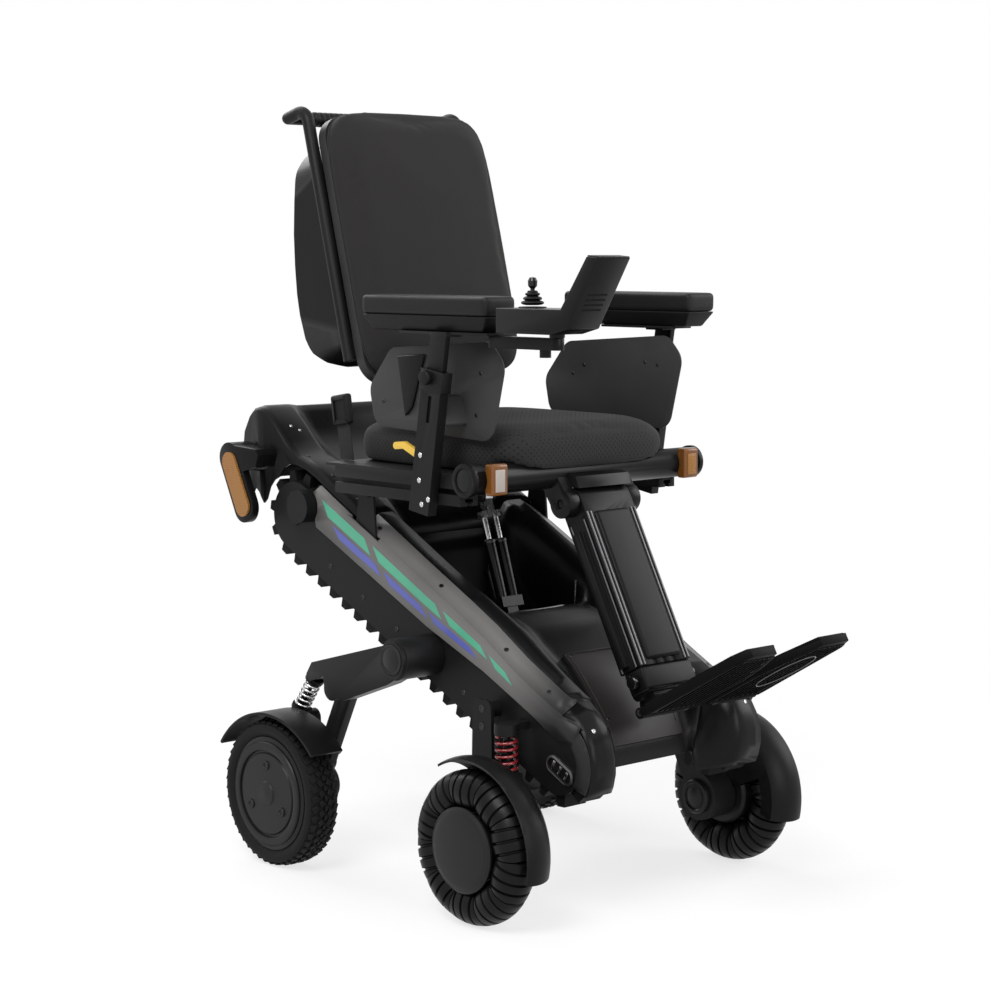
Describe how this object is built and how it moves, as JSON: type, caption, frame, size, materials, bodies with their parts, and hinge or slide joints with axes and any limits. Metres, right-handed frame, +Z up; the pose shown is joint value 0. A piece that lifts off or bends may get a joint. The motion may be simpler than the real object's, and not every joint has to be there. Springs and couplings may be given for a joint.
{
  "type": "stair climbing wheelchair",
  "caption": "Powered wheelchair with sprung wheels, a pair of rubber tracks for stairs, a tilting seat, folding back, lifting arms, swing-away joystick and raising leg rest.",
  "frame": {"origin": "on the floor under the middle of the bounding box", "axes": "+X to the sitter's left, -Y to the front, +Z up"},
  "size_m": [0.68, 1.1705, 1.3163],
  "materials": {
    "cover": "satin black moulding",
    "frame": "black powder coat",
    "battery_lid": "satin brown-grey moulding",
    "side_strip": "satin grey with two coloured stripes",
    "belt": "matt black rubber",
    "reflector": "amber prism reflector",
    "battery_case": "plain dark case",
    "motor_case": "black enamel",
    "axle_steel": "bright ground steel",
    "arm_metal": "black powder coat on castings",
    "fender": "fine grained black",
    "rear_coil": "bright wire",
    "front_coil": "red enamel wire",
    "tyre": "block tread",
    "wheel_disc": "satin dark disc",
    "roller": "ribbed black rollers",
    "lever": "yellow grip",
    "pad": "moulded soft skin",
    "footplate": "ribbed black",
    "mesh_cloth": "spacer mesh with fine dots",
    "back_cloth": "smooth charcoal cloth with piping",
    "guard": "dark grey sheet",
    "boot": "ribbed bellows",
    "knob": "gloss knob",
    "column": "black anodised extrusion"
  },
  "bodies": {
    "chassis": {"chassis_frame": "frame", "centre_cover": "cover", "battery_cover": "battery_lid", "rear_cover": "cover", "side_panels": "side_strip", "track_belts": "belt", "rear_pods": "cover", "pod_reflectors": "reflector", "battery_pack": "battery_case", "track_motor": "motor_case"},
    "drive_axle": {"drive_axle": "axle_steel"},
    "idler_axle": {"idler_axle": "axle_steel"},
    "rear_arm_right": {"rear_arm_right": "arm_metal"},
    "rear_link_right": {"rear_link_right": "arm_metal", "rear_fender_right": "fender", "rear_spring_right": "rear_coil"},
    "rear_wheel_right": {"rear_tyre_right": "tyre", "rear_rim_right": "wheel_disc"},
    "front_arm_right": {"front_arm_right": "arm_metal", "front_fender_right": "fender", "front_spring_right": "front_coil"},
    "front_wheel_right": {"omni_hub_right": "wheel_disc", "omni_rollers_right": "roller"},
    "rear_arm_left": {"rear_arm_left": "arm_metal"},
    "rear_link_left": {"rear_link_left": "arm_metal", "rear_fender_left": "fender", "rear_spring_left": "rear_coil"},
    "rear_wheel_left": {"rear_tyre_left": "tyre", "rear_rim_left": "wheel_disc"},
    "front_arm_left": {"front_arm_left": "arm_metal", "front_fender_left": "fender", "front_spring_left": "front_coil"},
    "front_wheel_left": {"omni_hub_left": "wheel_disc", "omni_rollers_left": "roller"},
    "seat": {"seat_frame": "frame", "front_beam": "cover", "beam_lamps": "reflector", "seat_cushion": "mesh_cloth", "arm_posts": "frame", "side_guards": "guard"},
    "actuator_barrel": {"actuator_barrel": "motor_case"},
    "actuator_rod": {"actuator_rod": "axle_steel"},
    "backrest": {"back_frame": "frame", "back_panel": "guard", "back_cushion": "back_cloth", "rear_case": "cover"},
    "arm_right": {"arm_stem_right": "frame", "arm_pad_right": "pad"},
    "arm_left": {"arm_stem_left": "frame", "arm_pad_left": "pad"},
    "controller_arm": {"controller_arm": "cover"},
    "controller": {"controller_housing": "cover"},
    "joystick_gimbal": {"joystick_boot": "boot"},
    "joystick": {"joystick_stick": "knob"},
    "legrest": {"leg_column": "column"},
    "leg_slider": {"leg_slider": "column"},
    "footplate_right": {"footplate_right": "footplate"},
    "release_lever_right": {"release_lever_right": "lever"},
    "footplate_left": {"footplate_left": "footplate"},
    "release_lever_left": {"release_lever_left": "lever"}
  },
  "joints": [
    {"name": "track_drive", "type": "hinge", "parent": "chassis", "child": "drive_axle", "pos_m": [0, 0.4183, 0.595], "axis": [1, 0, 0], "continuous": true},
    {"name": "track_idler", "type": "hinge", "parent": "chassis", "child": "idler_axle", "pos_m": [0, -0.2547, 0.257], "axis": [1, 0, 0], "continuous": true},
    {"name": "rear_arm_swing_right", "type": "hinge", "parent": "chassis", "child": "rear_arm_right", "pos_m": [-0.255, 0.0473, 0.394], "axis": [1, 0, 0], "range_deg": [0, 25]},
    {"name": "rear_spring_link_right", "type": "hinge", "parent": "rear_arm_right", "child": "rear_link_right", "pos_m": [-0.24, 0.2273, 0.318], "axis": [1, 0, 0], "range_deg": [-3, 4], "stiffness_Nm_per_rad": 1200, "springref_deg": -1.26, "deforming": ["rear_spring_right"]},
    {"name": "rear_wheel_spin_right", "type": "hinge", "parent": "rear_link_right", "child": "rear_wheel_right", "pos_m": [-0.302, 0.3308, 0.128], "axis": [1, 0, 0], "continuous": true},
    {"name": "front_spring_arm_right", "type": "hinge", "parent": "chassis", "child": "front_arm_right", "pos_m": [-0.219, -0.1127, 0.245], "axis": [1, 0, 0], "range_deg": [-4, 4], "stiffness_Nm_per_rad": 1200, "springref_deg": 0.8, "deforming": ["front_spring_right"]},
    {"name": "front_wheel_spin_right", "type": "hinge", "parent": "front_arm_right", "child": "front_wheel_right", "pos_m": [-0.302, -0.1762, 0.125], "axis": [1, 0, 0], "continuous": true},
    {"name": "rear_arm_swing_left", "type": "hinge", "parent": "chassis", "child": "rear_arm_left", "pos_m": [0.255, 0.0473, 0.394], "axis": [1, 0, 0], "range_deg": [0, 25]},
    {"name": "rear_spring_link_left", "type": "hinge", "parent": "rear_arm_left", "child": "rear_link_left", "pos_m": [0.24, 0.2273, 0.318], "axis": [1, 0, 0], "range_deg": [-3, 4], "stiffness_Nm_per_rad": 1200, "springref_deg": -1.26, "deforming": ["rear_spring_left"]},
    {"name": "rear_wheel_spin_left", "type": "hinge", "parent": "rear_link_left", "child": "rear_wheel_left", "pos_m": [0.302, 0.3308, 0.128], "axis": [1, 0, 0], "continuous": true},
    {"name": "front_spring_arm_left", "type": "hinge", "parent": "chassis", "child": "front_arm_left", "pos_m": [0.219, -0.1127, 0.245], "axis": [1, 0, 0], "range_deg": [-4, 4], "stiffness_Nm_per_rad": 1200, "springref_deg": 0.8, "deforming": ["front_spring_left"]},
    {"name": "front_wheel_spin_left", "type": "hinge", "parent": "front_arm_left", "child": "front_wheel_left", "pos_m": [0.302, -0.1762, 0.125], "axis": [1, 0, 0], "continuous": true},
    {"name": "seat_tilt", "type": "hinge", "parent": "chassis", "child": "seat", "pos_m": [0, 0.2133, 0.665], "axis": [-1, 0, 0], "range_deg": [-4, 12]},
    {"name": "actuator_foot", "type": "hinge", "parent": "chassis", "child": "actuator_barrel", "pos_m": [0, 0.0633, 0.425], "axis": [-1, 0, 0], "range_deg": [-2.3, 0.8]},
    {"name": "actuator_stroke", "type": "slide", "parent": "actuator_barrel", "child": "actuator_rod", "axis": [0, 0.3215, 0.9469], "range_m": [-0.005, 0.0145]},
    {"name": "back_recline", "type": "hinge", "parent": "seat", "child": "backrest", "pos_m": [0, 0.3133, 0.738], "axis": [1, 0, 0], "range_deg": [-15, 20]},
    {"name": "arm_height_right", "type": "slide", "parent": "seat", "child": "arm_right", "axis": [0, -0.1564, 0.9877], "range_m": [0, 0.05]},
    {"name": "arm_height_left", "type": "slide", "parent": "seat", "child": "arm_left", "axis": [0, -0.1564, 0.9877], "range_m": [0, 0.05]},
    {"name": "controller_swing", "type": "hinge", "parent": "arm_right", "child": "controller_arm", "pos_m": [-0.233, -0.1467, 0.921], "axis": [0, 0, -1], "range_deg": [0, 70]},
    {"name": "controller_level", "type": "hinge", "parent": "controller_arm", "child": "controller", "pos_m": [-0.233, -0.2867, 0.93], "axis": [0, 0, -1], "range_deg": [-70, 0]},
    {"name": "joystick_fore_aft", "type": "hinge", "parent": "controller", "child": "joystick_gimbal", "pos_m": [-0.233, -0.2317, 0.986], "axis": [1, 0, 0], "range_deg": [-15, 15], "stiffness_Nm_per_rad": 0.4, "deforming": ["joystick_boot"]},
    {"name": "joystick_sideways", "type": "hinge", "parent": "joystick_gimbal", "child": "joystick", "pos_m": [-0.233, -0.2317, 0.986], "axis": [0, 1, 0], "range_deg": [-15, 15], "stiffness_Nm_per_rad": 0.4},
    {"name": "legrest_lift", "type": "hinge", "parent": "seat", "child": "legrest", "pos_m": [0, -0.1387, 0.652], "axis": [-1, 0, 0], "range_deg": [0, 60]},
    {"name": "leg_length", "type": "slide", "parent": "legrest", "child": "leg_slider", "axis": [0, -0.4695, -0.8829], "range_m": [0, 0.06]},
    {"name": "footplate_flip_right", "type": "hinge", "parent": "leg_slider", "child": "footplate_right", "pos_m": [-0.085, -0.3707, 0.346], "axis": [-1, 0, 0], "range_deg": [0, 80]},
    {"name": "release_right", "type": "hinge", "parent": "seat", "child": "release_lever_right", "pos_m": [-0.245, 0.0173, 0.728], "axis": [1, 0, 0], "range_deg": [0, 30]},
    {"name": "footplate_flip_left", "type": "hinge", "parent": "leg_slider", "child": "footplate_left", "pos_m": [0.085, -0.3707, 0.346], "axis": [-1, 0, 0], "range_deg": [0, 80]},
    {"name": "release_left", "type": "hinge", "parent": "seat", "child": "release_lever_left", "pos_m": [0.245, 0.0173, 0.728], "axis": [1, 0, 0], "range_deg": [0, 30]}
  ],
  "couplings": [
    {"joint": "track_idler", "follows": "track_drive", "ratio": 1.2242},
    {"joint": "rear_arm_swing_left", "follows": "rear_arm_swing_right", "ratio": 1},
    {"joint": "actuator_foot", "follows": "seat_tilt", "ratio": -0.18},
    {"joint": "actuator_stroke", "follows": "seat_tilt", "m_per_rad": 0.0682},
    {"joint": "controller_level", "follows": "controller_swing", "ratio": -1}
  ]
}
